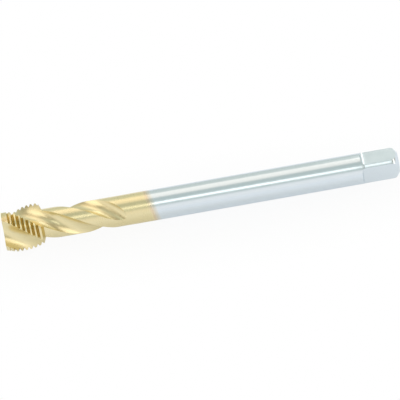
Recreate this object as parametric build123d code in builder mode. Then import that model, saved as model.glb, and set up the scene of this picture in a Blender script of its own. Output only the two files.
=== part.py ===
from build123d import *
import os
from math import ceil, cos, pi, radians, sin, sqrt, tan

# Machine tap M10 x 1, spiral fluted, ground from one bar of tool steel.
# The tool axis lies along X, with the cutting end at -X and the driving square at +X.
# The origin is below the middle of the tap, level with the lowest thread crest.
# Sizes are in millimetres and angles in degrees.

# Bar: the fluted neck and the corners of the square are ground a little under the shank
overall_length = 90.0
shank_diameter = 7.0
neck_diameter = 6.96
corner_diameter = 6.92
neck_length = 29.0
neck_blend_length = 0.8
end_chamfer_length = 0.95
end_chamfer_height = 1.3
end_chamfer_blend = 1.2
centre_hole_diameter = 1.6
centre_hole_depth = 1.8
centre_cone_diameter = 2.4
centre_cone_angle = 60.0

# Thread, with crests ground broad and a narrow root
thread_diameter = 10.0
thread_pitch = 1.0
thread_flank_angle = 60.0
thread_depth = 0.57 * thread_pitch
crest_width = 0.3 * thread_pitch
thread_start = -0.5 * thread_pitch
thread_length = 8.5
thread_back_length = 0.6
lead_in_length = 2.2 * thread_pitch
lead_in_diameter = 8.7

# Flutes
flute_count = 3
flute_helix_angle = 38.5
flute_start_angle = 26.5
flute_half_angle = 41.0
rake_angle = 0.0
heel_angle = 14.0
gullet_radius = 3.5
flute_full_length = 22.8
flute_runout_length = 5.8
flute_runout_radius = 10.0
flute_sections_per_turn = 28

# Driving square
flat_count = 4
square_size = 5.5
square_length = 8.5
square_runout_radius = 0.8

# How far the cutters run past the faces that they cut through
cutter_overshoot = 1.0
flute_reach = 8.0
groove_overshoot = 0.05 * thread_pitch

# Sizes that follow from the ones above
thread_radius = thread_diameter / 2
root_radius = thread_radius - thread_depth
shank_radius = shank_diameter / 2
neck_radius = neck_diameter / 2
corner_radius = corner_diameter / 2
axis_height = thread_radius
tool_axis = Axis((0, 0, axis_height), (1, 0, 0))
square_start = overall_length - square_length
flute_lead = pi * thread_diameter / tan(radians(flute_helix_angle))


def axis_point(distance):
    """Point on the tool axis at a distance from the cutting end."""
    return Vector(distance - overall_length / 2, 0, axis_height)


def across(distance, turn=0.0):
    """Plane across the tap, its X axis pointing outwards at the angle turn about the tool axis."""
    outwards = (0, cos(radians(turn)), sin(radians(turn)))
    return Plane(origin=axis_point(distance), x_dir=outwards, z_dir=(1, 0, 0))


def along(distance, turn):
    """Plane through the tool axis, its X axis along the tap and its Y axis outwards at turn."""
    sideways = (0, -sin(radians(turn)), cos(radians(turn)))
    return Plane(origin=axis_point(distance), x_dir=(1, 0, 0), z_dir=sideways)


def polar(length, angle):
    """Flat vector of a length and a direction."""
    return Vector(length * cos(radians(angle)), length * sin(radians(angle)))


# Flute outline: straight rake and heel faces that meet in a corner, rounded to the gullet.
# Its X axis points outwards through the middle of the flute, and Y towards the cutting edge.
cutting_edge = polar(thread_radius, flute_half_angle)
rake_direction = flute_half_angle - rake_angle
heel_direction = -flute_half_angle - heel_angle
mouth_width = 2 * cutting_edge.Y
rake_length = mouth_width * cos(radians(heel_direction)) / sin(radians(rake_direction - heel_direction))
gullet_corner = cutting_edge - polar(rake_length, rake_direction)

# Stations of the flute cutter, at equal steps from before the end face to past the run-out
flute_travel = cutter_overshoot + flute_full_length + flute_runout_length
flute_steps = ceil(flute_travel * flute_sections_per_turn / flute_lead)

# Thread groove: 60 degree flanks down to a narrow root flat, carried a little past the crest
flank_slope = tan(radians(thread_flank_angle / 2))
groove_root_half = (thread_pitch - crest_width) / 2 - thread_depth * flank_slope
groove_height = thread_depth + groove_overshoot
groove_mouth_half = groove_root_half + groove_height * flank_slope
thread_turns = ceil((thread_length + thread_back_length - thread_start) / thread_pitch)

with BuildPart() as tap:
    # Turned bar: lead-in cone, thread cylinder, steep back bevel, neck and shank, end chamfer
    with BuildSketch(along(0, 90)) as bar_outline:
        with BuildLine():
            Polyline(
                (0, 0),
                (0, lead_in_diameter / 2),
                (lead_in_length, thread_radius),
                (thread_length, thread_radius),
                (thread_length + thread_back_length, neck_radius),
                (neck_length, neck_radius),
                (neck_length + neck_blend_length, shank_radius),
                (square_start, shank_radius),
                (square_start + square_runout_radius, corner_radius),
                (overall_length - end_chamfer_length, corner_radius),
                (overall_length, corner_radius - end_chamfer_height),
                (overall_length, 0),
                close=True,
            )
        make_face()
        chamfer_corner = (overall_length - end_chamfer_length, corner_radius)
        fillet(bar_outline.vertices().sort_by_distance(chamfer_corner)[0], end_chamfer_blend)
    revolve(axis=tool_axis)

    # Centre holes in both ends, in which the bar turned while it was ground
    cutting_end_face = Plane(axis_point(0), z_dir=(-1, 0, 0))
    driving_end_face = Plane(axis_point(overall_length), z_dir=(1, 0, 0))
    with Locations(cutting_end_face, driving_end_face):
        CounterSinkHole(
            radius=centre_hole_diameter / 2,
            counter_sink_radius=centre_cone_diameter / 2,
            depth=centre_hole_depth,
            counter_sink_angle=centre_cone_angle,
        )

    # Driving square: four flats that run out of the shank in a hollow radius
    for flat_number in range(flat_count):
        with BuildSketch(along(square_start, flat_number * 360 / flat_count)) as flat_outline:
            with Locations((0, square_size / 2)):
                Rectangle(
                    square_length + cutter_overshoot,
                    thread_radius,
                    align=(Align.MIN, Align.MIN),
                )
            fillet(flat_outline.vertices().sort_by_distance((0, 0))[0], square_runout_radius)
        extrude(amount=shank_radius, both=True, mode=Mode.SUBTRACT)

    # Flutes: the outline turns with the helix and lifts out of the neck with the grinding wheel
    for flute_number in range(flute_count):
        first_angle = flute_start_angle + flute_number * 360 / flute_count
        for step in range(flute_steps + 1):
            distance = step * flute_travel / flute_steps - cutter_overshoot
            past_full = max(0.0, distance - flute_full_length)
            wheel_lift = Vector(flute_runout_radius - sqrt(flute_runout_radius**2 - past_full**2), 0)
            with BuildSketch(across(distance, first_angle + 360 * distance / flute_lead)) as flute_outline:
                with BuildLine():
                    Polyline(
                        gullet_corner + polar(flute_reach, rake_direction) + wheel_lift,
                        gullet_corner + wheel_lift,
                        gullet_corner + polar(flute_reach, heel_direction) + wheel_lift,
                        close=True,
                    )
                make_face()
                fillet(flute_outline.vertices().sort_by_distance((0, 0))[0], gullet_radius)
        loft(mode=Mode.SUBTRACT)

    # Thread: a V groove of constant depth, swept along its helix one turn at a time
    for turn_number in range(thread_turns):
        turn_start = thread_start + turn_number * thread_pitch
        with BuildLine() as groove_path:
            Helix(
                pitch=thread_pitch,
                height=thread_pitch,
                radius=root_radius,
                center=axis_point(turn_start),
                direction=(1, 0, 0),
            )
        with BuildSketch(along(turn_start, 90)) as groove_outline:
            with BuildLine():
                Polyline(
                    (-groove_root_half, root_radius),
                    (-groove_mouth_half, root_radius + groove_height),
                    (groove_mouth_half, root_radius + groove_height),
                    (groove_root_half, root_radius),
                    close=True,
                )
            make_face()
        sweep(groove_outline.sketch, path=groove_path.line, is_frenet=True, mode=Mode.SUBTRACT)

tap.part.label = "tap"
print(f"tap: {tap.part.volume:.0f} mm3, flute lead {flute_lead:.1f} mm")

os.makedirs("parts", exist_ok=True)
export_step(tap.part, "parts/tap.step")
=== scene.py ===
import logging
import math
from collections.abc import Callable
from dataclasses import dataclass, field
from enum import Enum

import bmesh
import bpy
import numpy as np
from mathutils import Matrix, Vector
from mathutils.geometry import tessellate_polygon


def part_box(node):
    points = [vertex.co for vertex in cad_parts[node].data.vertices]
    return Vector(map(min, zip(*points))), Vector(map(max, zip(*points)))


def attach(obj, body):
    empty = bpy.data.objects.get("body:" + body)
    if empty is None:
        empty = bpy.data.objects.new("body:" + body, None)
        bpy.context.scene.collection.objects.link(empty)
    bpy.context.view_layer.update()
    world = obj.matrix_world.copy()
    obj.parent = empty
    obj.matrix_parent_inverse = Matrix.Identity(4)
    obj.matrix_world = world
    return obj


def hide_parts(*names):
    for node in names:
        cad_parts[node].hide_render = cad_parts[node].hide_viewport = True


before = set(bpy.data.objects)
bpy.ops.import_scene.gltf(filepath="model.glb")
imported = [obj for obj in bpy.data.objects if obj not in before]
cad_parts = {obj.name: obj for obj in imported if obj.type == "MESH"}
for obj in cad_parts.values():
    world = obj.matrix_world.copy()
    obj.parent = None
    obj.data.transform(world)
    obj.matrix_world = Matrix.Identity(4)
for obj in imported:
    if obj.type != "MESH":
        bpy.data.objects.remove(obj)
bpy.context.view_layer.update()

# Machine tap M10 x 1 with spiral flutes, ground from one bar of tool steel.
# Shapes are worked out in millimetres. Distances run along the tap from its cutting end,
# angles run about its axis, and a point of a cross-section is a complex number:
# its real part lies along Y of the frame and its imaginary part along Z.
# The studio is in metres, as the scene is.

Tree = bpy.types.NodeTree
Node = bpy.types.Node

LOG = logging.getLogger("tap")
# Metres in a millimetre
METRES = 0.001
# Times that a search halves its range, which leaves far less than a micron
HALVINGS = 44


def linear(hex_colour: str) -> tuple[float, float, float, float]:
    """Turns an sRGB hex colour into linear RGBA.

    Args:
        hex_colour: Colour as "#RRGGBB".

    Returns:
        Linear red, green, blue and an alpha of 1.
    """
    parts = [int(hex_colour[i : i + 2], 16) / 255 for i in (1, 3, 5)]
    low = [c / 12.92 if c <= 0.04045 else ((c + 0.055) / 1.055) ** 2.4 for c in parts]
    return (low[0], low[1], low[2], 1.0)


def turned(degrees: np.ndarray | float) -> np.ndarray:
    """Unit complex number at an angle in degrees."""
    return np.exp(1j * np.radians(degrees))


def bisect(rises: Callable, low: np.ndarray, high: np.ndarray) -> np.ndarray:
    """Finds where a rising function crosses zero, for many cases at once.

    Args:
        rises: Function of an array, negative at low and positive at high.
        low: Where each search starts.
        high: Where each search ends.

    Returns:
        The crossings, halfway between the last bounds.
    """
    low, high = np.array(low, float), np.array(high, float)
    for _ in range(HALVINGS):
        middle = (low + high) / 2
        below = rises(middle) < 0
        low, high = np.where(below, middle, low), np.where(below, high, middle)
    return (low + high) / 2


def stand(name: str, data: bpy.types.ID) -> bpy.types.Object:
    """Puts an object into the scene.

    Args:
        name: Name of the object.
        data: Its mesh, lamp or lens.

    Returns:
        The object.
    """
    made = bpy.data.objects.new(name, data)
    bpy.context.scene.collection.objects.link(made)
    return made


# ---------------------------------------------------------------- sizes of the tap


@dataclass(frozen=True)
class Bar:
    """Turned and ground bar that the tap is made from, in millimetres."""

    length: float = 90.0
    axis_height: float = 5.0
    neck_radius: float = 3.48
    shank_radius: float = 3.5
    corner_radius: float = 3.46
    neck_end: float = 29.0
    neck_blend: float = 0.8
    square_start: float = 81.5
    corner_blend: float = 0.8
    chamfer_length: float = 0.95
    chamfer_height: float = 1.3
    chamfer_blend: float = 1.2

    @property
    def chamfer_angle(self) -> float:
        """Slope of the end chamfer against the axis, in radians."""
        return math.atan2(self.chamfer_height, self.chamfer_length)

    @property
    def chamfer_start(self) -> float:
        """Distance at which the rounded end chamfer leaves the corners."""
        reach = self.chamfer_blend * math.tan(self.chamfer_angle / 2)
        return self.length - self.chamfer_length - reach

    def radius(self, distance: np.ndarray) -> np.ndarray:
        """Radius of the bar behind the thread, from the neck to the end chamfer.

        Args:
            distance: Distances from the cutting end.

        Returns:
            The radius at each distance.
        """
        stations = [
            self.neck_end,
            self.neck_end + self.neck_blend,
            self.square_start,
            self.square_start + self.corner_blend,
        ]
        radii = [self.neck_radius, self.shank_radius, self.shank_radius, self.corner_radius]
        straight = np.interp(distance, stations, radii)
        past = np.clip(distance - self.chamfer_start, 0, self.chamfer_blend)
        arc = self.corner_radius - self.chamfer_blend + np.sqrt(self.chamfer_blend**2 - past**2)
        line = self.corner_radius - self.chamfer_height * (
            (distance - self.length + self.chamfer_length) / self.chamfer_length
        )
        arc_end = self.chamfer_start + self.chamfer_blend * math.sin(self.chamfer_angle)
        chamfer = np.where(distance < arc_end, arc, line)
        return np.where(distance > self.chamfer_start, chamfer, straight)

    def place(self, distance: np.ndarray, section: np.ndarray) -> np.ndarray:
        """Puts points of cross-sections into the frame.

        Args:
            distance: Distance of each point from the cutting end.
            section: Place of each point in its cross-section, from the axis.

        Returns:
            The points in metres, with X, Y and Z as the last axis.
        """
        along = np.broadcast_to(distance, np.shape(section)) - self.length / 2
        points = (along, np.real(section), np.imag(section) + self.axis_height)
        return np.stack(points, axis=-1) * METRES


@dataclass(frozen=True)
class Thread:
    """Cutting thread of the tap: a V groove on a helix round a short, thick head.

    Start is the distance of the groove's centre where its angle is start_turn.
    """

    radius: float = 5.0
    pitch: float = 1.0
    flank_angle: float = 60.0
    depth: float = 0.57
    crest_width: float = 0.3
    start: float = 0.5
    start_turn: float = 90.0
    length: float = 8.5
    bevel: float = 0.6
    lead_in_length: float = 2.2
    lead_in_radius: float = 4.35
    neck_radius: float = Bar.neck_radius

    @property
    def end(self) -> float:
        """Distance at which the bevel behind the thread meets the neck."""
        return self.length + self.bevel

    @property
    def root_radius(self) -> float:
        """Radius of the flat at the bottom of the groove."""
        return self.radius - self.depth

    @property
    def slope(self) -> float:
        """Half width that a flank gains for each unit of height."""
        return math.tan(math.radians(self.flank_angle / 2))

    @property
    def root_half(self) -> float:
        """Half width of the flat at the bottom of the groove."""
        return (self.pitch - self.crest_width) / 2 - self.depth * self.slope

    def envelope(self, distance: np.ndarray) -> np.ndarray:
        """Radius over the crests.

        Args:
            distance: Distances from the cutting end.

        Returns:
            The radius of the lead-in cone, the full thread or the bevel.
        """
        stations = [0, self.lead_in_length, self.length, self.end]
        radii = [self.lead_in_radius, self.radius, self.radius, self.neck_radius]
        return np.interp(distance, stations, radii)

    def groove_centre(self, number: int, turn: np.ndarray) -> np.ndarray:
        """Distance of a turn of the groove from the cutting end, at an angle about the axis."""
        return self.start + self.pitch * (number + (turn - self.start_turn) / 360)

    def flank(self, distance: np.ndarray, centre: np.ndarray) -> np.ndarray:
        """Radius of the groove's root and flanks, carried on above the crests."""
        beside = np.maximum(0, np.abs(distance - centre) - self.root_half)
        return self.root_radius + beside / self.slope

    def mouth(self, centre: np.ndarray, side: int) -> np.ndarray:
        """Distance at which a flank comes out through the crests.

        Args:
            centre: Distances of the groove's centre.
            side: -1 for the flank nearer to the cutting end, 1 for the other.

        Returns:
            The distance, which is the root's edge where there is no groove.
        """

        def above(half_width: np.ndarray) -> np.ndarray:
            """Height of the flank over the crests, this far from the centre."""
            there = centre + side * half_width
            return self.flank(there, centre) - self.envelope(there)

        near = np.full_like(centre, self.root_half)
        return centre + side * bisect(above, near, near * 0 + self.pitch / 2)


@dataclass(frozen=True)
class Flute:
    """Spiral flute: straight rake and heel faces with a round gullet between them.

    Its outline is a curve in a section of the tap. There, the real axis points outwards through
    the middle of the flute, and the imaginary axis towards the cutting edge.
    """

    count: int = 3
    mouth_radius: float = Thread.radius
    helix_angle: float = 38.5
    start_angle: float = 26.5
    half_angle: float = 41.0
    rake_angle: float = 0.0
    heel_angle: float = 14.0
    gullet_radius: float = 3.5
    full_length: float = 22.8
    runout_radius: float = 10.0
    outline_reach: float = 12.5

    @property
    def lead(self) -> float:
        """Distance in which the flute goes once round the tap."""
        return 2 * math.pi * self.mouth_radius / math.tan(math.radians(self.helix_angle))

    @property
    def rake_direction(self) -> float:
        """Direction of the rake face, outwards, in degrees."""
        return self.half_angle - self.rake_angle

    @property
    def heel_direction(self) -> float:
        """Direction of the heel face, outwards, in degrees."""
        return -self.half_angle - self.heel_angle

    @property
    def middle_direction(self) -> float:
        """Direction halfway between the rake and heel faces, in degrees."""
        return (self.rake_direction + self.heel_direction) / 2

    @property
    def gullet_corner(self) -> complex:
        """Point where the rake and heel faces would meet."""
        edge = self.mouth_radius * turned(self.half_angle)
        across = math.cos(math.radians(self.heel_direction))
        between = math.sin(math.radians(self.rake_direction - self.heel_direction))
        return edge - 2 * edge.imag * across / between * turned(self.rake_direction)

    @property
    def gullet_bend(self) -> float:
        """Half of the angle that the gullet's arc turns through, in radians."""
        return math.radians(180 - self.rake_direction + self.heel_direction) / 2

    @property
    def gullet_centre(self) -> complex:
        """Centre of the gullet's arc."""
        inwards = self.gullet_radius / math.cos(self.gullet_bend)
        return self.gullet_corner + inwards * turned(self.middle_direction)

    def turn(self, distance: np.ndarray, number: int) -> np.ndarray:
        """Angle of a flute's middle about the axis at a distance, in degrees."""
        return self.start_angle + 360 * (number / self.count + distance / self.lead)

    def lift(self, distance: np.ndarray) -> np.ndarray:
        """How far the wheel has lifted out of the neck at a distance."""
        past = np.clip(distance - self.full_length, 0, self.runout_radius)
        return self.runout_radius - np.sqrt(self.runout_radius**2 - past**2)

    def outline(self, along: np.ndarray, lift: np.ndarray | float = 0.0) -> np.ndarray:
        """Points of the flute's outline.

        Args:
            along: Lengths along the outline from the middle of the gullet, towards the rake face.
            lift: How far the outline has moved outwards.

        Returns:
            The points, as complex numbers.
        """
        bend = np.clip(along / self.gullet_radius, -self.gullet_bend, self.gullet_bend)
        from_centre = self.gullet_radius * turned(180 + self.middle_direction)
        arc = self.gullet_centre + from_centre * np.exp(-1j * bend)
        straight = along - bend * self.gullet_radius
        rake = np.maximum(straight, 0) * turned(self.rake_direction)
        heel = np.maximum(-straight, 0) * turned(self.heel_direction)
        return arc + rake + heel + lift

    def mouth(
        self, radius: np.ndarray | float, side: int, lift: np.ndarray | float = 0.0
    ) -> np.ndarray:
        """Where the outline comes out through a circle about the axis.

        Args:
            radius: Radius of the circle.
            side: 1 for the rake face, -1 for the heel.
            lift: How far the outline has moved outwards.

        Returns:
            Length along the outline from the middle of the gullet.
        """
        radius, lift = np.broadcast_arrays(np.asarray(radius, float), lift)
        centre = self.gullet_centre + lift
        nearest = self.gullet_radius * (math.radians(self.middle_direction) - np.angle(centre))

        def outside(reach: np.ndarray) -> np.ndarray:
            """Height of the outline over the circle, this far from its deepest point."""
            return np.abs(self.outline(nearest + side * reach, lift)) - radius

        farthest = np.full(radius.shape, self.outline_reach)
        return nearest + side * bisect(outside, np.zeros(radius.shape), farthest)

    def edge_turn(
        self, radius: np.ndarray | float, side: int, lift: np.ndarray | float = 0.0
    ) -> np.ndarray:
        """Angle in degrees between the flute's middle and its edge at a radius."""
        return np.degrees(np.angle(self.outline(self.mouth(radius, side, lift), lift)))

    def nose(self, radius: float) -> float:
        """Where the run-out ends.

        Args:
            radius: Radius of the bar.

        Returns:
            Distance at which the wheel has left the bar.
        """
        out = radius + self.gullet_radius
        lift = math.sqrt(out**2 - self.gullet_centre.imag**2) - self.gullet_centre.real
        past = math.sqrt(self.runout_radius**2 - (self.runout_radius - lift) ** 2)
        return self.full_length + past


@dataclass(frozen=True)
class Square:
    """Driving square: four flats that run out of the shank in a hollow radius."""

    half_size: float = 2.75
    runout: float = Bar.corner_blend
    sides: int = 4


@dataclass(frozen=True)
class CentreHole:
    """Centre-drilled hole in an end face, in which the bar turned while it was ground."""

    mouth_radius: float = 1.2
    hole_radius: float = 0.8
    cone_angle: float = 60.0
    depth: float = 1.8
    tip: float = 0.25
    columns: int = 48

    def outline(self) -> np.ndarray:
        """Works out the hole's outline: cone, pilot hole and blunt tip.

        Returns:
            Depths and radii, from the mouth inwards.
        """
        middle = (self.mouth_radius + self.hole_radius) / 2
        slope = math.tan(math.radians(self.cone_angle / 2))
        cone = (self.mouth_radius - self.hole_radius) / slope
        corners = (
            (0, self.mouth_radius),
            (cone / 2, middle),
            (cone, self.hole_radius),
            ((cone + self.depth) / 2, self.hole_radius),
            (self.depth - self.tip, self.hole_radius),
            (self.depth, 0),
        )
        return np.array(corners)


# ---------------------------------------------------------------- the surface of the tap


class Face(Enum):
    """Kinds of surface on the tap, by how each was machined."""

    BAR = "bar"
    THREAD = "thread"
    FLUTE = "flute"
    FLAT = "flat"
    END = "end"


@dataclass
class Skin:
    """Surface of one solid, gathered patch by patch and then welded.

    A patch has a kind and a number. Edges between two kinds or two numbers stay sharp.
    """

    crease_angle: float = 24.0
    weld_distance: float = 2e-7
    points: list[np.ndarray] = field(default_factory=list)
    faces: list[tuple[int, ...]] = field(default_factory=list)
    patches: list[int] = field(default_factory=list)
    count: int = 0

    def _add_points(self, points: np.ndarray) -> int:
        """Keeps points.

        Args:
            points: The points, in metres, with X, Y and Z as the last axis.

        Returns:
            The number of the first.
        """
        first = self.count
        self.points.append(points.reshape(-1, 3))
        self.count += len(self.points[-1])
        return first

    def _add_faces(self, faces: list[tuple[int, ...]], kind: Face, number: int) -> None:
        """Keeps faces, each with one whole number for its kind and its patch's number."""
        self.faces.extend(faces)
        self.patches.extend([list(Face).index(kind) + len(Face) * number] * len(faces))

    def grid(self, points: np.ndarray, kind: Face, number: int = 0) -> None:
        """Adds a patch of four-sided faces.

        Args:
            points: Rows and columns of points, in metres.
            kind: Kind of surface.
            number: Number of the patch.
        """
        rows, columns = points.shape[:2]
        first = self._add_points(points)
        faces = []
        for row in range(rows - 1):
            start = first + row * columns
            for corner in range(start, start + columns - 1):
                faces.append((corner, corner + 1, corner + 1 + columns, corner + columns))
        self._add_faces(faces, kind, number)

    def stitch(self, one: np.ndarray, other: np.ndarray, kind: Face, number: int) -> None:
        """Joins two chains of points along the tap with triangles.

        Args:
            one: First chain, in order of distance.
            other: Second chain, in order of distance.
            kind: Kind of surface.
            number: Number of the patch.
        """
        first, second = self._add_points(one), self._add_points(other)
        faces, i, j = [], 0, 0
        while i < len(one) - 1 or j < len(other) - 1:
            if j == len(other) - 1 or (i < len(one) - 1 and one[i + 1, 0] <= other[j + 1, 0]):
                faces.append((first + i, first + i + 1, second + j))
                i += 1
            else:
                faces.append((first + i, second + j + 1, second + j))
                j += 1
        self._add_faces(faces, kind, number)

    def tube(self, bar: Bar, distance: np.ndarray, turn: np.ndarray) -> None:
        """Adds a stretch of plain bar, closed all round.

        Args:
            bar: Bar behind the thread.
            distance: Distance of each row.
            turn: Angle of each column in each row, in degrees.
        """
        closed = np.concatenate([turn, turn[:, :1] + 360], axis=1)
        section = bar.radius(distance)[:, None] * turned(closed)
        self.grid(bar.place(distance[:, None], section), Face.BAR)

    def end_face(self, bar: Bar, hole: CentreHole, rim: np.ndarray, inwards: int) -> None:
        """Closes one end of the bar: a flat face and the centre hole in it.

        Args:
            bar: Bar whose end it is.
            hole: Sizes of the centre hole.
            rim: Closed outline of the face, in metres.
            inwards: 1 at the cutting end, -1 at the driving end.
        """
        depth, radius = hole.outline().T[:, :, None]
        face = 0.0 if inwards > 0 else bar.length
        section = radius * turned(np.arange(hole.columns + 1) * 360 / hole.columns)
        bore = bar.place(face + inwards * depth, section)
        self.grid(bore, Face.END)
        loops = (rim, bore[0, :-1])
        first = self._add_points(np.concatenate(loops))
        flat = [[Vector((point[1], point[2], 0)) for point in loop] for loop in loops]
        triangles = tessellate_polygon(flat)
        faces = [tuple(first + corner for corner in triangle) for triangle in triangles]
        self._add_faces(faces, Face.END, 0)

    def solid(self, name: str, finishes: list[bpy.types.Material]) -> bpy.types.Object:
        """Welds the patches into one closed object.

        Args:
            name: Name of the object.
            finishes: Materials, in the order of Face.

        Returns:
            The object, linked to the scene.
        """
        mesh = bpy.data.meshes.new(name)
        mesh.from_pydata(np.concatenate(self.points).tolist(), [], self.faces)
        mesh.attributes.new("patch", "INT", "FACE").data.foreach_set("value", self.patches)
        kinds = [patch % len(Face) for patch in self.patches]
        mesh.polygons.foreach_set("material_index", kinds)
        shell = bmesh.new()
        shell.from_mesh(mesh)
        bmesh.ops.remove_doubles(shell, verts=shell.verts, dist=self.weld_distance)
        bmesh.ops.dissolve_degenerate(shell, edges=shell.edges, dist=self.weld_distance)
        bmesh.ops.recalc_face_normals(shell, faces=shell.faces)
        patch = shell.faces.layers.int["patch"]
        crease = math.radians(self.crease_angle)
        open_edges = 0
        for edge in shell.edges:
            if len(edge.link_faces) != 2:
                open_edges += 1
                continue
            one, other = edge.link_faces
            edge.smooth = one[patch] == other[patch] and edge.calc_face_angle(0.0) < crease
        for face in shell.faces:
            face.smooth = True
        shell.faces.layers.int.remove(patch)
        shell.to_mesh(mesh)
        shell.free()
        for finish in finishes:
            mesh.materials.append(finish)
        LOG.info("%s: %d faces, %d open edges", name, len(mesh.polygons), open_edges)
        return stand(name, mesh)


@dataclass
class CuttingEnd:
    """Threaded head and fluted neck, up to where the neck blends into the shank.

    The thread's rows follow its helix, so a land's rows are set by the turns of the groove that
    cross its middle between first_groove and last_groove. They are looked for a few spare turns
    past both ends of the thread. Angles and distances on a land depend on each other, and are
    worked out together in a few passes.
    """

    bar: Bar
    thread: Thread
    flute: Flute
    hole: CentreHole
    land_columns: int = 24
    flute_columns: int = 32
    front_rows: int = 4
    groove_rows: int = 5
    bevel_shares: tuple[float, ...] = (0.0, 0.34, 0.67, 1.0)
    first_groove: float = 0.3
    last_groove: float = 8.65
    spare_turns: int = 2
    least_crest: float = 0.02
    passes: int = 8
    wall_shares: tuple[float, ...] = (0.0, 0.25, 0.5)
    head_rows: int = 46
    neck_rows: int = 58
    runout_rows: int = 40
    fan_rows: int = 12
    fan_easing: float = 1.4

    def _land_turn(
        self,
        distance: np.ndarray,
        radius: np.ndarray | float,
        number: int,
        lift: np.ndarray | float = 0.0,
    ) -> np.ndarray:
        """Angles of points on a land, at even steps from its cutting edge to its heel.

        Args:
            distance: Distances of the points.
            radius: Radii of the points.
            number: Number of the flute whose cutting edge bounds the land.
            lift: How far the wheel has lifted out there.

        Returns:
            The angles about the axis, in degrees, with a column for each step.
        """
        middle = self.flute.turn(distance, number)
        edge = middle + self.flute.edge_turn(radius, 1, lift)
        heel = middle + 360 / self.flute.count + self.flute.edge_turn(radius, -1, lift)
        return edge + (heel - edge) * np.linspace(0, 1, self.land_columns + 1)

    def _grooves(self, number: int) -> list[int]:
        """Numbers of the groove's turns that cut a land.

        Args:
            number: Number of the land.

        Returns:
            The numbers, from the cutting end on.
        """
        middle = self.flute.start_angle + 360 * (number + 0.5) / self.flute.count
        last = math.ceil(self.thread.end / self.thread.pitch) + self.spare_turns
        found = []
        for turn_number in range(-self.spare_turns, last):
            start = self.thread.groove_centre(turn_number, middle)
            centre = start / (1 - self.thread.pitch / self.flute.lead)
            if self.first_groove < centre < self.last_groove:
                found.append(turn_number)
        return found

    def _land_rows(self, turn: np.ndarray, grooves: list[int]) -> np.ndarray:
        """Distances of the thread's corners along a land, for a grid of angles.

        Args:
            turn: Angle of each grid point, rows by columns.
            grooves: Numbers of the groove's turns that cut the land.

        Returns:
            Distances, rows by columns.
        """
        thread = self.thread
        rows: list[np.ndarray] = []

        def centre(groove: int) -> np.ndarray:
            """Distance of a groove's centre, at the angles of the row that comes next."""
            return thread.groove_centre(groove, turn[len(rows)])

        for row in range(self.front_rows):
            rows.append(row / self.front_rows * thread.mouth(centre(grooves[0]), -1))
        for groove in grooves:
            rows.append(thread.mouth(centre(groove), -1))
            rows.append(centre(groove) - thread.root_half)
            rows.append(centre(groove) + thread.root_half)
            rows.append(thread.mouth(centre(groove), 1))
            if groove != grooves[-1]:
                here = thread.mouth(centre(groove), 1)
                there = thread.mouth(centre(groove + 1), -1)
                cone_ends = (here < thread.lead_in_length) & (thread.lead_in_length < there)
                rows.append(np.where(cone_ends, thread.lead_in_length, (here + there) / 2))
        for share in self.bevel_shares:
            last = thread.mouth(centre(grooves[-1]), 1)
            bevel_start = np.maximum(thread.length, last + self.least_crest)
            rows.append(bevel_start + share * (thread.end - bevel_start))
        return np.array(rows)

    def threaded_land(self, number: int) -> tuple[np.ndarray, np.ndarray]:
        """Works out the thread on one land, each row following the thread's helix.

        Args:
            number: Number of the land.

        Returns:
            Distances and cross-section points, rows by columns.
        """
        grooves = self._grooves(number)
        rows = self.front_rows + self.groove_rows * len(grooves) - 1 + len(self.bevel_shares)
        even = np.linspace(0, self.thread.end, rows)[:, None]
        turn = self._land_turn(even, self.thread.radius, number)
        for _ in range(self.passes):
            distance = self._land_rows(turn, grooves)
            radius = self.thread.envelope(distance)
            for groove in grooves:
                centre = self.thread.groove_centre(groove, turn)
                radius = np.minimum(radius, self.thread.flank(distance, centre))
            turn = self._land_turn(distance, radius, number)
        return distance, radius * turned(turn)

    def _flute_rows(self) -> np.ndarray:
        """Spaces the rows of a flute, closer together towards the nose of its run-out.

        Returns:
            Distances of the rows, from the end face on.
        """
        nose = self.flute.nose(self.bar.neck_radius)
        head = np.linspace(0, self.thread.end, self.head_rows)
        neck = np.linspace(self.thread.end, self.flute.full_length, self.neck_rows)[1:]
        left = np.linspace(1, 0, self.runout_rows)[1:] ** 2
        runout = nose - (nose - self.flute.full_length) * left
        return np.concatenate([head, neck, runout])

    def gullet(self, number: int) -> tuple[np.ndarray, np.ndarray]:
        """Works out one flute below the neck's surface.

        Args:
            number: Number of the flute.

        Returns:
            Distances and cross-section points, rows by columns.
        """
        distance = self._flute_rows()[:, None]
        lift = self.flute.lift(distance)
        heel = self.flute.mouth(self.bar.neck_radius, -1, lift)
        rake = self.flute.mouth(self.bar.neck_radius, 1, lift)
        share = np.linspace(0, 1, self.flute_columns + 1)
        outline = self.flute.outline(heel + (rake - heel) * share, lift)
        section = outline * turned(self.flute.turn(distance, number))
        return distance, section

    def neck_land(self, number: int) -> tuple[np.ndarray, np.ndarray]:
        """Works out one land of the neck, from the thread to the nose of the run-outs.

        Args:
            number: Number of the land.

        Returns:
            Distances and cross-section points, rows by columns.
        """
        distance = self._flute_rows()[self.head_rows - 1 :, None]
        lift = self.flute.lift(distance)
        turn = self._land_turn(distance, self.bar.neck_radius, number, lift)
        return distance, self.bar.neck_radius * turned(turn)

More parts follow.
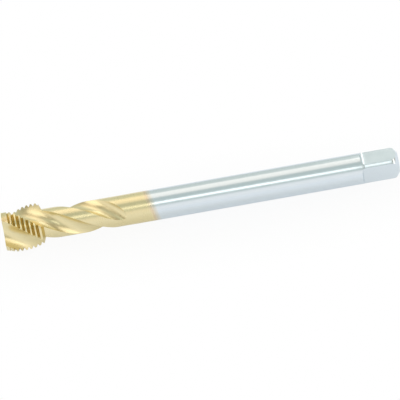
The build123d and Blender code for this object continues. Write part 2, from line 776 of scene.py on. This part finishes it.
    def fan(self) -> tuple[np.ndarray, np.ndarray]:
        """Works out the neck behind the flutes, where the columns spread evenly.

        Returns:
            Distances of the rows, and the angle of each column in each row, in degrees.
        """
        nose = self.flute.nose(self.bar.neck_radius)
        spacing = np.linspace(0, 1, self.fan_rows) ** self.fan_easing
        distance = nose + (self.bar.neck_end - nose) * spacing
        opened = ((distance - nose) / (self.bar.neck_end - nose))[:, None]
        between_flutes = 360 / self.flute.count
        flute_share = self.flute_columns / (self.flute_columns + self.land_columns)
        flute_half = between_flutes / 2 * flute_share * opened
        land_half = between_flutes / 2 - flute_half
        parts = []
        for number in range(self.flute.count):
            lifted = self.flute.gullet_centre + self.flute.lift(nose)
            middle = self.flute.turn(nose, number) + math.degrees(np.angle(lifted))
            parts.append(middle + np.linspace(-1, 1, self.flute_columns + 1)[:-1] * flute_half)
            land_middle = middle + between_flutes / 2
            parts.append(land_middle + np.linspace(-1, 1, self.land_columns + 1)[:-1] * land_half)
        return distance, np.concatenate(parts, axis=1)

    def build(self, skin: Skin) -> np.ndarray:
        """Adds the head and the neck to the skin.

        Args:
            skin: Surface that the patches join.

        Returns:
            The angle of each column at the end of the neck, in degrees.
        """
        place = self.bar.place
        front: list[np.ndarray] = []
        lands = [self.threaded_land(number) for number in range(self.flute.count)]
        lands = [place(*land) for land in lands]
        for number, land in enumerate(lands):
            following = (number + 1) % self.flute.count
            skin.grid(land, Face.THREAD)
            front.append(land[0])
            front.extend(self._wall(skin, land[:, -1], following, -1))
            gullet = place(*self.gullet(following))
            skin.grid(gullet, Face.FLUTE, following)
            front.append(gullet[0])
            front.extend(reversed(self._wall(skin, lands[following][:, 0], following, 1)))
            skin.grid(place(*self.neck_land(number)), Face.BAR)
        distance, turn = self.fan()
        skin.tube(self.bar, distance, turn)
        rim = np.concatenate(front)
        apart = np.linalg.norm(rim - np.roll(rim, 1, axis=0), axis=1)
        skin.end_face(self.bar, self.hole, rim[apart > skin.weld_distance], 1)
        return turn[-1]

    def _wall(self, skin: Skin, land_edge: np.ndarray, number: int, side: int) -> list:
        """Adds the rake or heel face between the neck's radius and the thread.

        Args:
            skin: Surface that the patch joins.
            land_edge: Chain of points where the face meets the land.
            number: Number of the flute.
            side: 1 for the rake face, -1 for the heel.

        Returns:
            The face's points in the end face, from the land inwards.
        """
        distance = self._flute_rows()[: self.head_rows]
        height = self.thread.envelope(distance) - self.bar.neck_radius
        chains = []
        for share in self.wall_shares:
            radius = self.bar.neck_radius + share * height
            turn = self.flute.turn(distance, number) + self.flute.edge_turn(radius, side)
            chains.append(self.bar.place(distance, radius * turned(turn)))
        skin.grid(np.stack(chains, axis=1), Face.FLUTE, number)
        skin.stitch(chains[-1], land_edge, Face.FLUTE, number)
        return [chain[:1] for chain in reversed(chains[1:])]


@dataclass
class DrivingEnd:
    """Plain shank, driving square and end chamfer.

    The inset, half a micron, keeps the flats' outer columns inside the corners and starts the
    search for the chamfer just before it.
    """

    bar: Bar
    square: Square
    hole: CentreHole
    corner_columns: int = 8
    blend_rows: int = 4
    shank_rows: int = 28
    hollow_rows: int = 9
    flat_rows: int = 14
    chamfer_rows: int = 12
    inset: float = 0.0005

    def _flat_offsets(self, columns: int) -> np.ndarray:
        """Spreads columns evenly round the shank over one flat.

        Args:
            columns: Number of faces across the flat.

        Returns:
            Sideways places of the columns.
        """
        corner = math.sqrt(self.bar.corner_radius**2 - self.square.half_size**2)
        widest = math.asin((corner - self.inset) / self.bar.shank_radius)
        return self.bar.shank_radius * np.sin(np.linspace(-widest, widest, columns + 1))

    def side(self, columns: int, number: int) -> tuple[np.ndarray, np.ndarray]:
        """Works out one flat with the shank before it and the chamfer behind it.

        Args:
            columns: Number of faces across the flat.
            number: Number of the flat.

        Returns:
            Distances and cross-section points, rows by columns.
        """
        bar, square = self.bar, self.square
        offset = self._flat_offsets(columns)
        start = np.full(offset.shape, bar.square_start)
        hollow_end = bar.square_start + square.runout
        hollow_top = square.half_size + square.runout

        def above_hollow(distance: np.ndarray) -> np.ndarray:
            """Height of the shank over the hollow radius."""
            floor = hollow_top - np.sqrt(square.runout**2 - (hollow_end - distance) ** 2)
            return np.sqrt(bar.radius(distance) ** 2 - offset**2) - floor

        def past_corner(distance: np.ndarray) -> np.ndarray:
            """How far the flat would stand out of the end chamfer."""
            return np.hypot(square.half_size, offset) - bar.radius(distance)

        run_in = bisect(above_hollow, start, np.full(offset.shape, hollow_end))
        chamfer_start = np.full(offset.shape, bar.chamfer_start - self.inset)
        run_off = bisect(past_corner, chamfer_start, np.full(offset.shape, bar.length))

        rows = [(start, np.sqrt(bar.shank_radius**2 - offset**2))]
        first_bend = np.arccos(np.clip((hollow_end - run_in) / square.runout, 0, 1))
        for share in np.linspace(0, 1, self.hollow_rows):
            bend = first_bend + share * (math.pi / 2 - first_bend)
            along = hollow_end - square.runout * np.cos(bend)
            rows.append((along, hollow_top - square.runout * np.sin(bend)))
        for share in np.linspace(0, 1, self.flat_rows)[1:]:
            along = hollow_end + share * (run_off - hollow_end)
            rows.append((along, np.full(offset.shape, square.half_size)))
        distance, height = (np.array(part) for part in zip(*rows))
        section = height + 1j * offset
        behind = run_off + np.linspace(0, 1, self.chamfer_rows)[1:, None] * (bar.length - run_off)
        chamfer = bar.radius(behind) * np.exp(1j * np.angle(section[-1]))
        distance = np.concatenate([distance, behind])
        section = np.concatenate([section, chamfer])
        return distance, section * turned(360 * number / square.sides)

    def build(self, skin: Skin, neck_turn: np.ndarray) -> None:
        """Adds the shank, the square and the rear face to the skin.

        Args:
            skin: Surface that the patches join.
            neck_turn: Angle of each column at the end of the neck, in degrees.
        """
        bar, sides = self.bar, self.square.sides
        flat_columns = len(neck_turn) // sides - self.corner_columns
        flats = [self.side(flat_columns, number) for number in range(sides)]
        hollow_start, flat_end = 1, self.hollow_rows + self.flat_rows
        rim: list[np.ndarray] = []
        shank_turn: list[np.ndarray] = []
        for number, (distance, section) in enumerate(flats):
            placed = bar.place(distance, section)
            skin.grid(placed[: hollow_start + 1], Face.BAR)
            skin.grid(placed[hollow_start:flat_end], Face.FLAT, number)
            skin.grid(placed[flat_end - 1 :], Face.BAR)
            edge, following = section[:, -1], flats[(number + 1) % sides][1][:, 0]
            between = np.angle(following / edge)[:, None]
            share = np.linspace(0, 1, self.corner_columns + 1)
            corner = edge[:, None] * np.exp(1j * between * share)
            skin.grid(bar.place(distance[:, -1:], corner), Face.BAR)
            whole = np.concatenate([section[:, :-1], corner[:, :-1]], axis=1)
            rim.append(bar.place(bar.length, whole[-1]))
            shank_turn.append(np.degrees(np.angle(whole[0])))
        self._shank(skin, neck_turn, np.concatenate(shank_turn))
        skin.end_face(bar, self.hole, np.concatenate(rim), -1)

    def _shank(self, skin: Skin, neck_turn: np.ndarray, square_turn: np.ndarray) -> None:
        """Adds the shank, its columns easing from the neck's places to the square's.

        Args:
            skin: Surface that the patch joins.
            neck_turn: Angle of each column at the end of the neck, in degrees.
            square_turn: Angle of each column at the start of the square.
        """
        bar = self.bar
        nearest = np.argmin(np.abs(turned(square_turn - neck_turn[0]) - 1))
        aligned = np.roll(square_turn, -nearest)
        change = np.degrees(np.angle(turned(aligned - neck_turn)))
        shank_start = bar.neck_end + bar.neck_blend
        blend = np.linspace(bar.neck_end, shank_start, self.blend_rows)[:-1]
        plain = np.linspace(shank_start, bar.square_start, self.shank_rows)
        distance = np.concatenate([blend, plain])
        eased = np.clip((distance - shank_start) / (bar.square_start - shank_start), 0, 1)
        skin.tube(bar, distance, neck_turn + eased[:, None] * change)


# ---------------------------------------------------------------- finishes


def add(tree: Tree, kind: str, inputs: dict | tuple = (), **settings: object) -> Node:
    """Adds a node with its settings and links.

    Args:
        tree: Node tree that the node joins.
        kind: Blender's name for the node's type.
        inputs: What goes into the inputs in use, by name or in their order: values, output
            sockets, or nodes, which stand for their first output in use.
        **settings: Properties of the node.

    Returns:
        The node.
    """
    node = tree.nodes.new(kind)
    for name, value in settings.items():
        setattr(node, name, value)
    in_use = [socket for socket in node.inputs if socket.enabled]
    by_name = {socket.name: socket for socket in in_use}
    for key, value in inputs.items() if isinstance(inputs, dict) else enumerate(inputs):
        socket = by_name[key] if isinstance(key, str) else in_use[key]
        if isinstance(value, Node):
            value = next(output for output in value.outputs if output.enabled)
        if isinstance(value, bpy.types.NodeSocket):
            tree.links.new(value, socket)
        else:
            socket.default_value = value
    return node


def cleared(owner: bpy.types.Material | bpy.types.World) -> Tree:
    """Empties the node tree of a material or a world.

    Args:
        owner: Material or world, which shows its nodes from now on.

    Returns:
        The node tree.
    """
    owner.use_nodes = True
    owner.node_tree.nodes.clear()
    return owner.node_tree


class Marks(Enum):
    """Which way the marks of a machining step run."""

    AROUND = "around the bar"
    ALONG_FLUTE = "along the flute"
    LENGTHWISE = "along the bar"
    FACED = "in rings on an end face"


@dataclass(frozen=True)
class CoatingEdge:
    """Where the coating ends on the shank: a slanted plane, with a soft edge.

    The tap stood in its holder up to this line while it was coated. So the coating thins out
    over about two millimetres, and shows faint rose and straw interference colours there. The
    fringe gives each colour's place between full coating, at 0, and bare steel, at 1.
    """

    distance: float = 33.75
    slant: float = 0.25
    slant_turn: float = 50.0
    fade: float = 1.2
    wander: float = 0.5
    waves_per_mm: float = 0.5
    wave_detail: float = 2.0
    fringe: tuple[tuple[float, str], ...] = ((0.35, "#E5D1B0"), (0.62, "#DFDBCE"))
    into_fringe: tuple[float, float] = (0.0, 0.3)
    out_of_fringe: tuple[float, float] = (0.7, 1.0)


@dataclass(frozen=True)
class GroundSteel:
    """High-speed steel, hardened and ground, with titanium nitride over the cutting end.

    The steel is a cool, even silver. The nitride is a pale gold with a satin gloss. Down in the
    thread's grooves a darker gold is painted in as shade, where less light gets out. Grinding
    leaves fine parallel marks, which give each reflection a soft grain along them. Real marks are
    about a hundredth of a millimetre apart. That is too fine to show, so mark_spacing draws them
    coarser.
    """

    name: str
    marks: Marks
    mark_spacing: float
    mark_depth: float
    roughness: tuple[float, float]
    steel: str = "#E3EAEE"
    steel_shade: str = "#DAE2E7"
    nitride: str = "#F1E3B8"
    nitride_shade: str = "#E5D6A4"
    # Painted shade: a darker gold for the bottom of the thread's grooves, whether to paint it, and
    # the share of the groove's depth over which it comes in
    groove_painted_shade: str = "#D6C17E"
    paints_groove_shade: bool = False
    groove_shade_depths: tuple[float, float] = (0.05, 0.6)
    satin: float = 0.06
    mark_stretch: float = 40.0
    mark_detail: float = 2.0
    mark_raggedness: float = 0.6
    patches_per_mm: float = 0.35
    patch_detail: float = 3.0
    patch_tone: float = 0.5
    patch_gloss: float = 0.4
    noise_range: tuple[float, float] = (0.3, 0.7)

    def build(
        self, bar: Bar, thread: Thread, flute: Flute, edge: CoatingEdge
    ) -> bpy.types.Material:
        """Makes the material.

        Args:
            bar: Bar that the surface is on, for its axis.
            thread: Thread, into whose grooves shade is painted.
            flute: Flute that the marks follow.
            edge: Where the coating ends.

        Returns:
            The material.
        """
        made = bpy.data.materials.new(self.name)
        tree = cleared(made)
        place = add(tree, "ShaderNodeTexCoord").outputs["Object"]
        to_mm, to_axis = (1 / METRES,) * 3, (bar.length / 2, 0.0, -bar.axis_height)
        in_mm = add(tree, "ShaderNodeVectorMath", (place, to_mm, to_axis), operation="MULTIPLY_ADD")
        marks = self._marks(tree, in_mm, flute)
        slow = {"Vector": in_mm, "Scale": self.patches_per_mm, "Detail": self.patch_detail}
        patches = add(tree, "ShaderNodeTexNoise", slow)
        bare = self._bare(tree, in_mm, edge)
        colour = self._colour(tree, (marks, patches), bare, edge)
        # Painted shade in the thread's grooves
        if self.paints_groove_shade:
            colour = self._paint_groove_shade(tree, in_mm, thread, colour)
        mixed = add(tree, "ShaderNodeMix", (self.patch_gloss, marks, patches), data_type="FLOAT")
        rough = add(tree, "ShaderNodeMapRange", (mixed, *self.noise_range, *self.roughness))
        rough = add(tree, "ShaderNodeMath", (bare, -self.satin, rough), operation="MULTIPLY_ADD")
        relief = {"Height": marks, "Distance": self.mark_depth * METRES, "Strength": 1.0}
        bump = add(tree, "ShaderNodeBump", relief)
        metal = {"Base Color": colour, "Metallic": 1.0, "Roughness": rough, "Normal": bump}
        shader = add(tree, "ShaderNodeBsdfPrincipled", metal)
        add(tree, "ShaderNodeOutputMaterial", {"Surface": shader})
        return made

    def _from_axis(self, tree: Tree, in_mm: Node) -> Node:
        """Distance of a place from the tap's axis."""
        across = add(tree, "ShaderNodeVectorMath", (in_mm, (0.0, 1.0, 1.0)), operation="MULTIPLY")
        return add(tree, "ShaderNodeVectorMath", (across,), operation="LENGTH")

    def _marks(self, tree: Tree, in_mm: Node, flute: Flute) -> Node:
        """Noise drawn out into the marks of the machining step.

        Args:
            tree: Node tree of the material.
            in_mm: Place on the tap in millimetres from the cutting end and the axis.
            flute: Flute that the marks follow.

        Returns:
            Node with the height of the marks, from 0 to 1.
        """
        across = 1 / self.mark_spacing
        along = across / self.mark_stretch
        source, stretch = in_mm, (along, across, across)
        if self.marks is Marks.AROUND:
            stretch = (across, along, along)
        elif self.marks is Marks.FACED:
            source = add(tree, "ShaderNodeCombineXYZ", (self._from_axis(tree, in_mm),))
            stretch = (across, across, across)
        elif self.marks is Marks.ALONG_FLUTE:
            distance = add(tree, "ShaderNodeSeparateXYZ", (in_mm,))
            untwist = (distance, -2 * math.pi / flute.lead)
            angle = add(tree, "ShaderNodeMath", untwist, operation="MULTIPLY")
            straight = {"Vector": in_mm, "Angle": angle}
            source = add(tree, "ShaderNodeVectorRotate", straight, rotation_type="X_AXIS")
        drawn = add(tree, "ShaderNodeVectorMath", (source, stretch), operation="MULTIPLY")
        grain = {"Scale": 1.0, "Detail": self.mark_detail, "Roughness": self.mark_raggedness}
        return add(tree, "ShaderNodeTexNoise", {"Vector": drawn, **grain})

    def _bare(self, tree: Tree, in_mm: Node, edge: CoatingEdge) -> Node:
        """How bare the steel is.

        Args:
            tree: Node tree of the material.
            in_mm: Place on the tap in millimetres from the cutting end and the axis.
            edge: Where the coating ends.

        Returns:
            Node that rises from 0 under the full coating to 1 on bare steel.
        """
        up = turned(edge.slant_turn)
        plane = (1.0, edge.slant * float(up.real), edge.slant * float(up.imag))
        reach = add(tree, "ShaderNodeVectorMath", (in_mm, plane), operation="DOT_PRODUCT")
        waves = {"Vector": in_mm, "Scale": edge.waves_per_mm, "Detail": edge.wave_detail}
        wavy = (add(tree, "ShaderNodeTexNoise", waves), edge.wander, reach)
        shifted = add(tree, "ShaderNodeMath", wavy, operation="MULTIPLY_ADD")
        middle = edge.distance + edge.wander / 2
        across = (shifted, middle - edge.fade, middle + edge.fade)
        return add(tree, "ShaderNodeMapRange", across)

    def _colour(
        self, tree: Tree, noises: tuple[Node, Node], bare: Node, edge: CoatingEdge
    ) -> Node:
        """Nitride up to the coating's edge, the fringe there, and steel past it.

        Args:
            tree: Node tree of the material.
            noises: Machining marks and slow patches, for uneven tone.
            bare: How bare the steel is.
            edge: Where the coating ends.

        Returns:
            Node with the colour.
        """
        tone = add(tree, "ShaderNodeMix", (self.patch_tone, *noises), data_type="FLOAT")
        gold, silver = (
            add(tree, "ShaderNodeMix", (tone, linear(dark), linear(light)), data_type="RGBA")
            for dark, light in ((self.nitride_shade, self.nitride), (self.steel_shade, self.steel))
        )
        fringe = add(tree, "ShaderNodeValToRGB", (bare,))
        stops = fringe.color_ramp.elements
        stops[0].color, stops[1].color = linear(self.nitride), linear(self.steel)
        for position, tint in edge.fringe:
            stops.new(position).color = linear(tint)
        colour = gold
        for following, step in ((fringe, edge.into_fringe), (silver, edge.out_of_fringe)):
            share = add(tree, "ShaderNodeMapRange", (bare, *step), interpolation_type="SMOOTHSTEP")
            colour = add(tree, "ShaderNodeMix", (share, colour, following), data_type="RGBA")
        return colour

    def _paint_groove_shade(self, tree: Tree, in_mm: Node, thread: Thread, colour: Node) -> Node:
        """Paints shade into the thread's grooves, as a darker gold towards their bottom.

        Args:
            tree: Node tree of the material.
            in_mm: Place on the tap in millimetres from the cutting end and the axis.
            thread: Thread, for the radius of its crests and the depth of its groove.
            colour: Colour at the crests.

        Returns:
            Node with the colour.
        """
        distance = add(tree, "ShaderNodeSeparateXYZ", (in_mm,))
        cone = (distance, 0.0, thread.lead_in_length, thread.lead_in_radius, thread.radius)
        crest = add(tree, "ShaderNodeMapRange", cone)
        to_surface = (crest, self._from_axis(tree, in_mm))
        below = add(tree, "ShaderNodeMath", to_surface, operation="SUBTRACT")
        down = (below, *(share * thread.depth for share in self.groove_shade_depths))
        depth = add(tree, "ShaderNodeMapRange", down, interpolation_type="SMOOTHSTEP")
        # Painted shade: towards the grooves' bottoms the colour passes into a darker gold
        gold = linear(self.groove_painted_shade)
        return add(tree, "ShaderNodeMix", (depth, colour, gold), data_type="RGBA")


@dataclass(frozen=True)
class TablePaint:
    """Matt white paint, rolled on.

    It gives the eye a plain white sheet with a faint shadow by the tap. A plain white shines
    through it for the eye and in reflections. Each pair of shares is for near and for far away
    from the tap, where near and far are in metres and lengths along the tap are shortened.
    """

    name: str = "matt_white_table_paint"
    white: str = "#F2F6FB"
    seen_white: str = "#FFFFFF"
    mirrored_white: str = "#F9FCFF"
    seen: tuple[float, float] = (0.92, 1.0)
    mirrored: tuple[float, float] = (0.4, 0.96)
    away: tuple[float, float] = (0.006, 0.024)
    shorten: float = 0.25
    grains_per_metre: float = 900.0
    roughness: tuple[float, float] = (0.85, 0.95)

    def build(self) -> bpy.types.Material:
        """Makes the material.

        Returns:
            The material.
        """
        made = bpy.data.materials.new(self.name)
        tree = cleared(made)
        place = add(tree, "ShaderNodeTexCoord").outputs["Object"]
        fine = {"Vector": place, "Scale": self.grains_per_metre}
        grain = (add(tree, "ShaderNodeTexNoise", fine), 0.0, 1.0, *self.roughness)
        rough = add(tree, "ShaderNodeMapRange", grain)
        dull = {"Base Color": linear(self.white), "Roughness": rough}
        matt = add(tree, "ShaderNodeBsdfPrincipled", dull)
        shortened = (place, (self.shorten, 1.0, 1.0))
        beside = add(tree, "ShaderNodeVectorMath", shortened, operation="MULTIPLY")
        away = add(tree, "ShaderNodeVectorMath", (beside,), operation="LENGTH")
        ray = add(tree, "ShaderNodeLightPath").outputs
        share = 0.0
        for kind, shares in (("Is Camera Ray", self.seen), ("Is Glossy Ray", self.mirrored)):
            step = (away, *self.away, *shares)
            plain = add(tree, "ShaderNodeMapRange", step, interpolation_type="SMOOTHSTEP")
            share = add(tree, "ShaderNodeMath", (ray[kind], plain, share), operation="MULTIPLY_ADD")
        tints = (ray["Is Camera Ray"], linear(self.mirrored_white), linear(self.seen_white))
        tint = add(tree, "ShaderNodeMix", tints, data_type="RGBA")
        glow = add(tree, "ShaderNodeEmission", {"Color": tint, "Strength": 1.0})
        shown = add(tree, "ShaderNodeMixShader", (share, matt, glow))
        add(tree, "ShaderNodeOutputMaterial", {"Surface": shown})
        return made


# ---------------------------------------------------------------- the studio


def placed(axes: tuple[Vector, Vector, Vector], origin: Vector) -> Matrix:
    """Matrix that puts an object's axes along three directions and its origin at a point."""
    rows = [(*(axis[row] for axis in axes), origin[row]) for row in range(3)]
    return Matrix([*rows, (0, 0, 0, 1)])


@dataclass(frozen=True)
class SoftBox:
    """Soft lamp that faces the tap.

    Its place is an angle about the tap's axis, from level behind over the top to the front, and
    a lean from there towards the driving end. Its size is how wide it looks from the tap, both
    across the tap and along it, and its brightness is 1 where it looks as bright as white.
    """

    name: str
    turn: float
    lean: float
    across: float
    along: float
    brightness: float
    colour: str = "#FFFCFA"
    distance: float = 0.9

    def build(self, target: Vector) -> bpy.types.Object:
        """Hangs the lamp so that it faces the tap.

        Args:
            target: Point on the tap's axis.

        Returns:
            The lamp.
        """
        lamp = bpy.data.lights.new(self.name, "AREA")
        lamp.shape = "RECTANGLE"
        lamp.size = 2 * self.distance * math.tan(math.radians(self.along / 2))
        lamp.size_y = 2 * self.distance * math.tan(math.radians(self.across / 2))
        lamp.energy = self.brightness * math.pi * lamp.size * lamp.size_y
        lamp.color = linear(self.colour)[:3]
        made = stand(self.name, lamp)
        outwards, lean = turned(self.turn), math.radians(self.lean)
        along = Vector((1, 0, 0))
        level = Vector((0, float(outwards.real), float(outwards.imag)))
        back = level * math.cos(lean) + along * math.sin(lean)
        sideways = along * math.cos(lean) - level * math.sin(lean)
        axes = (sideways, back.cross(sideways), back)
        made.matrix_world = placed(axes, target + back * self.distance)
        return made


@dataclass(frozen=True)
class Room:
    """White room round the table, as the steel and the table see it.

    Its walls are white low down. Higher up they pass into a grey-green ceiling, with darker
    screens beyond both ends of the tap and a pale wall behind it. Each pair of numbers is where
    one shade passes into the next, measured along a unit vector.
    """

    white: str = "#FFFFFF"
    ceiling: str = "#CBD7D5"
    side_screens: str = "#938F7D"
    back_wall: str = "#D4DCD7"
    ceiling_slope: float = 0.27
    ceiling_edge: tuple[float, float] = (0.125, 0.335)
    screen_edge: tuple[float, float] = (0.08, 0.32)
    wall_edge: tuple[float, float] = (0.1, 0.9)

    def build(self) -> None:
        """Makes the world, which the camera sees as plain white."""
        room = bpy.data.worlds.new("white_room")
        bpy.context.scene.world = room
        tree = cleared(room)
        towards = add(tree, "ShaderNodeTexCoord").outputs["Generated"]
        upwards = (towards, (0.0, self.ceiling_slope, 1.0))
        height = add(tree, "ShaderNodeVectorMath", upwards, operation="DOT_PRODUCT")
        parts = add(tree, "ShaderNodeSeparateXYZ", (towards,))
        sideways = add(tree, "ShaderNodeMath", (parts,), operation="ABSOLUTE")
        shade = linear(self.ceiling)
        for value, step, colour in (
            (sideways, self.screen_edge, self.side_screens),
            (parts.outputs["Y"], self.wall_edge, self.back_wall),
            # The other way round, because the walls are white below the ceiling's edge
            (height, self.ceiling_edge[::-1], self.white),
        ):
            share = add(tree, "ShaderNodeMapRange", (value, *step), interpolation_type="SMOOTHSTEP")
            shade = add(tree, "ShaderNodeMix", (share, shade, linear(colour)), data_type="RGBA")
        walls = add(tree, "ShaderNodeBackground", {"Color": shade, "Strength": 1.0})
        plain = {"Color": linear(self.white), "Strength": 1.0}
        backdrop = add(tree, "ShaderNodeBackground", plain)
        ray = add(tree, "ShaderNodeLightPath").outputs["Is Camera Ray"]
        shown = add(tree, "ShaderNodeMixShader", (ray, walls, backdrop))
        add(tree, "ShaderNodeOutputWorld", {"Surface": shown})


@dataclass(frozen=True)
class Studio:
    """White table, soft lamps and a long lens, in metres and degrees.

    The camera looks down on the tap from the front. Aside and above are how far the middle of
    the tap lies to the right of the middle of the view and over it. The table lies just under
    the tap, clear of the lowest crests.
    """

    tilt: float = 10.0
    elevation: float = 40.0
    view_width: float = 0.08989
    aside: float = 0.00027
    above: float = 0.00076
    camera_distance: float = 1.0
    camera_reach: float = 100.0
    sensor_mm: float = 36.0
    table_size: float = 6.0
    table_drop: float = 0.00003
    paint: TablePaint = TablePaint()
    room: Room = Room()
    lamps: tuple[SoftBox, ...] = (
        SoftBox("overhead_softbox", 68.0, -12.0, 40.0, 50.0, 0.57, "#FFE6D8"),
        SoftBox("front_lamp", 129.0, 0.0, 14.0, 15.0, 1.4),
        SoftBox("right_key_lamp", 119.0, 45.0, 46.0, 36.0, 1.3),
        SoftBox("left_fill_lamp", 109.0, -46.0, 42.0, 34.0, 1.3),
        SoftBox("back_right_lamp", 40.0, 21.0, 42.0, 24.0, 1.2),
        SoftBox("back_left_lamp", 52.0, -15.0, 36.0, 18.0, 0.35),
    )

    def camera(self, target: Vector) -> None:
        """Points the camera at the tap, rolled so that the tap rises to the right.

        Args:
            target: Middle of the tap's axis.
        """
        tilt, elevation = math.radians(self.tilt), math.radians(self.elevation)
        level_up = Vector((0, math.sin(elevation), math.cos(elevation)))
        along = Vector((1, 0, 0))
        right = along * math.cos(tilt) - level_up * math.sin(tilt)
        up = along * math.sin(tilt) + level_up * math.cos(tilt)
        back = right.cross(up)
        eye = target - right * self.aside - up * self.above + back * self.camera_distance
        lens = bpy.data.cameras.new("camera")
        lens.sensor_width = self.sensor_mm
        lens.lens = self.sensor_mm * self.camera_distance / self.view_width
        lens.clip_end = self.camera_reach
        made = stand("camera", lens)
        made.matrix_world = placed((right, up, back), eye)
        bpy.context.scene.camera = made

    def table(self) -> None:
        """Lays the white table under the tap."""
        half = self.table_size / 2
        corners = [(-half, -half, 0), (half, -half, 0), (half, half, 0), (-half, half, 0)]
        mesh = bpy.data.meshes.new("table")
        mesh.from_pydata(corners, [], [(0, 1, 2, 3)])
        mesh.materials.append(self.paint.build())
        made = stand("table", mesh)
        made.location.z = -self.table_drop

    def build(self, target: Vector) -> None:
        """Sets up the camera, the table, the room and the lamps round the tap.

        Args:
            target: Middle of the tap's axis.
        """
        self.camera(target)
        self.table()
        self.room.build()
        for lamp in self.lamps:
            lamp.build(target)
        bpy.context.scene.view_settings.view_transform = "Standard"
        LOG.info("studio: %d lamps", len(self.lamps))


# ---------------------------------------------------------------- the whole tap


@dataclass
class Tap:
    """The tap, one closed solid with a finish for each way that it was machined."""

    bar: Bar = field(default_factory=Bar)
    thread: Thread = field(default_factory=Thread)
    flute: Flute = field(default_factory=Flute)
    square: Square = field(default_factory=Square)
    hole: CentreHole = field(default_factory=CentreHole)
    coating: CoatingEdge = field(default_factory=CoatingEdge)

    def finishes(self) -> list[bpy.types.Material]:
        """Makes the materials.

        Returns:
            The materials, in the order of Face.
        """
        kinds = {
            # Ground between centres: long, even highlights with the finest grain of all
            Face.BAR: GroundSteel(
                "ground_tool_steel_bar", Marks.AROUND, 0.12, 0.0003, (0.26, 0.32)
            ),
            # Ground with a ribbed wheel: bright crests, with shade painted into the grooves as a
            # darker gold
            Face.THREAD: GroundSteel(
                "ground_nitride_thread", Marks.AROUND, 0.1, 0.0006, (0.24, 0.32), paints_groove_shade=True
            ),
            # Ground along the spiral: highlights that follow the flute, softer than the bar's
            Face.FLUTE: GroundSteel(
                "ground_nitride_flute", Marks.ALONG_FLUTE, 0.12, 0.0006, (0.26, 0.36)
            ),
            # Ground lengthwise: flats of one quiet tone each
            Face.FLAT: GroundSteel(
                "ground_tool_steel_flat", Marks.LENGTHWISE, 0.12, 0.0008, (0.26, 0.34)
            ),
            # Turned to length: the dullest surface, with rings about the centre hole
            Face.END: GroundSteel(
                "faced_tool_steel_end", Marks.FACED, 0.1, 0.001, (0.28, 0.38)
            ),
        }
        return [kinds[face].build(self.bar, self.thread, self.flute, self.coating) for face in Face]

    def build(self) -> bpy.types.Object:
        """Builds the whole surface and joins it to the frame.

        Returns:
            The tap's object.
        """
        skin = Skin()
        neck_turn = CuttingEnd(self.bar, self.thread, self.flute, self.hole).build(skin)
        DrivingEnd(self.bar, self.square, self.hole).build(skin, neck_turn)
        made = skin.solid("ground_tap", self.finishes())
        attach(made, "root")
        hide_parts("tap")
        return made


def main() -> None:
    """Builds the studio and the tap, and reports them."""
    logging.basicConfig(level=logging.INFO, format="%(name)s: %(message)s")
    tap = Tap()
    low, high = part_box("tap")
    LOG.info("frame box: %.1f mm long", (high.x - low.x) / METRES)
    Studio().build(Vector((0, 0, tap.bar.axis_height * METRES)))
    tap.build()


if __name__ == "__main__":
    main()
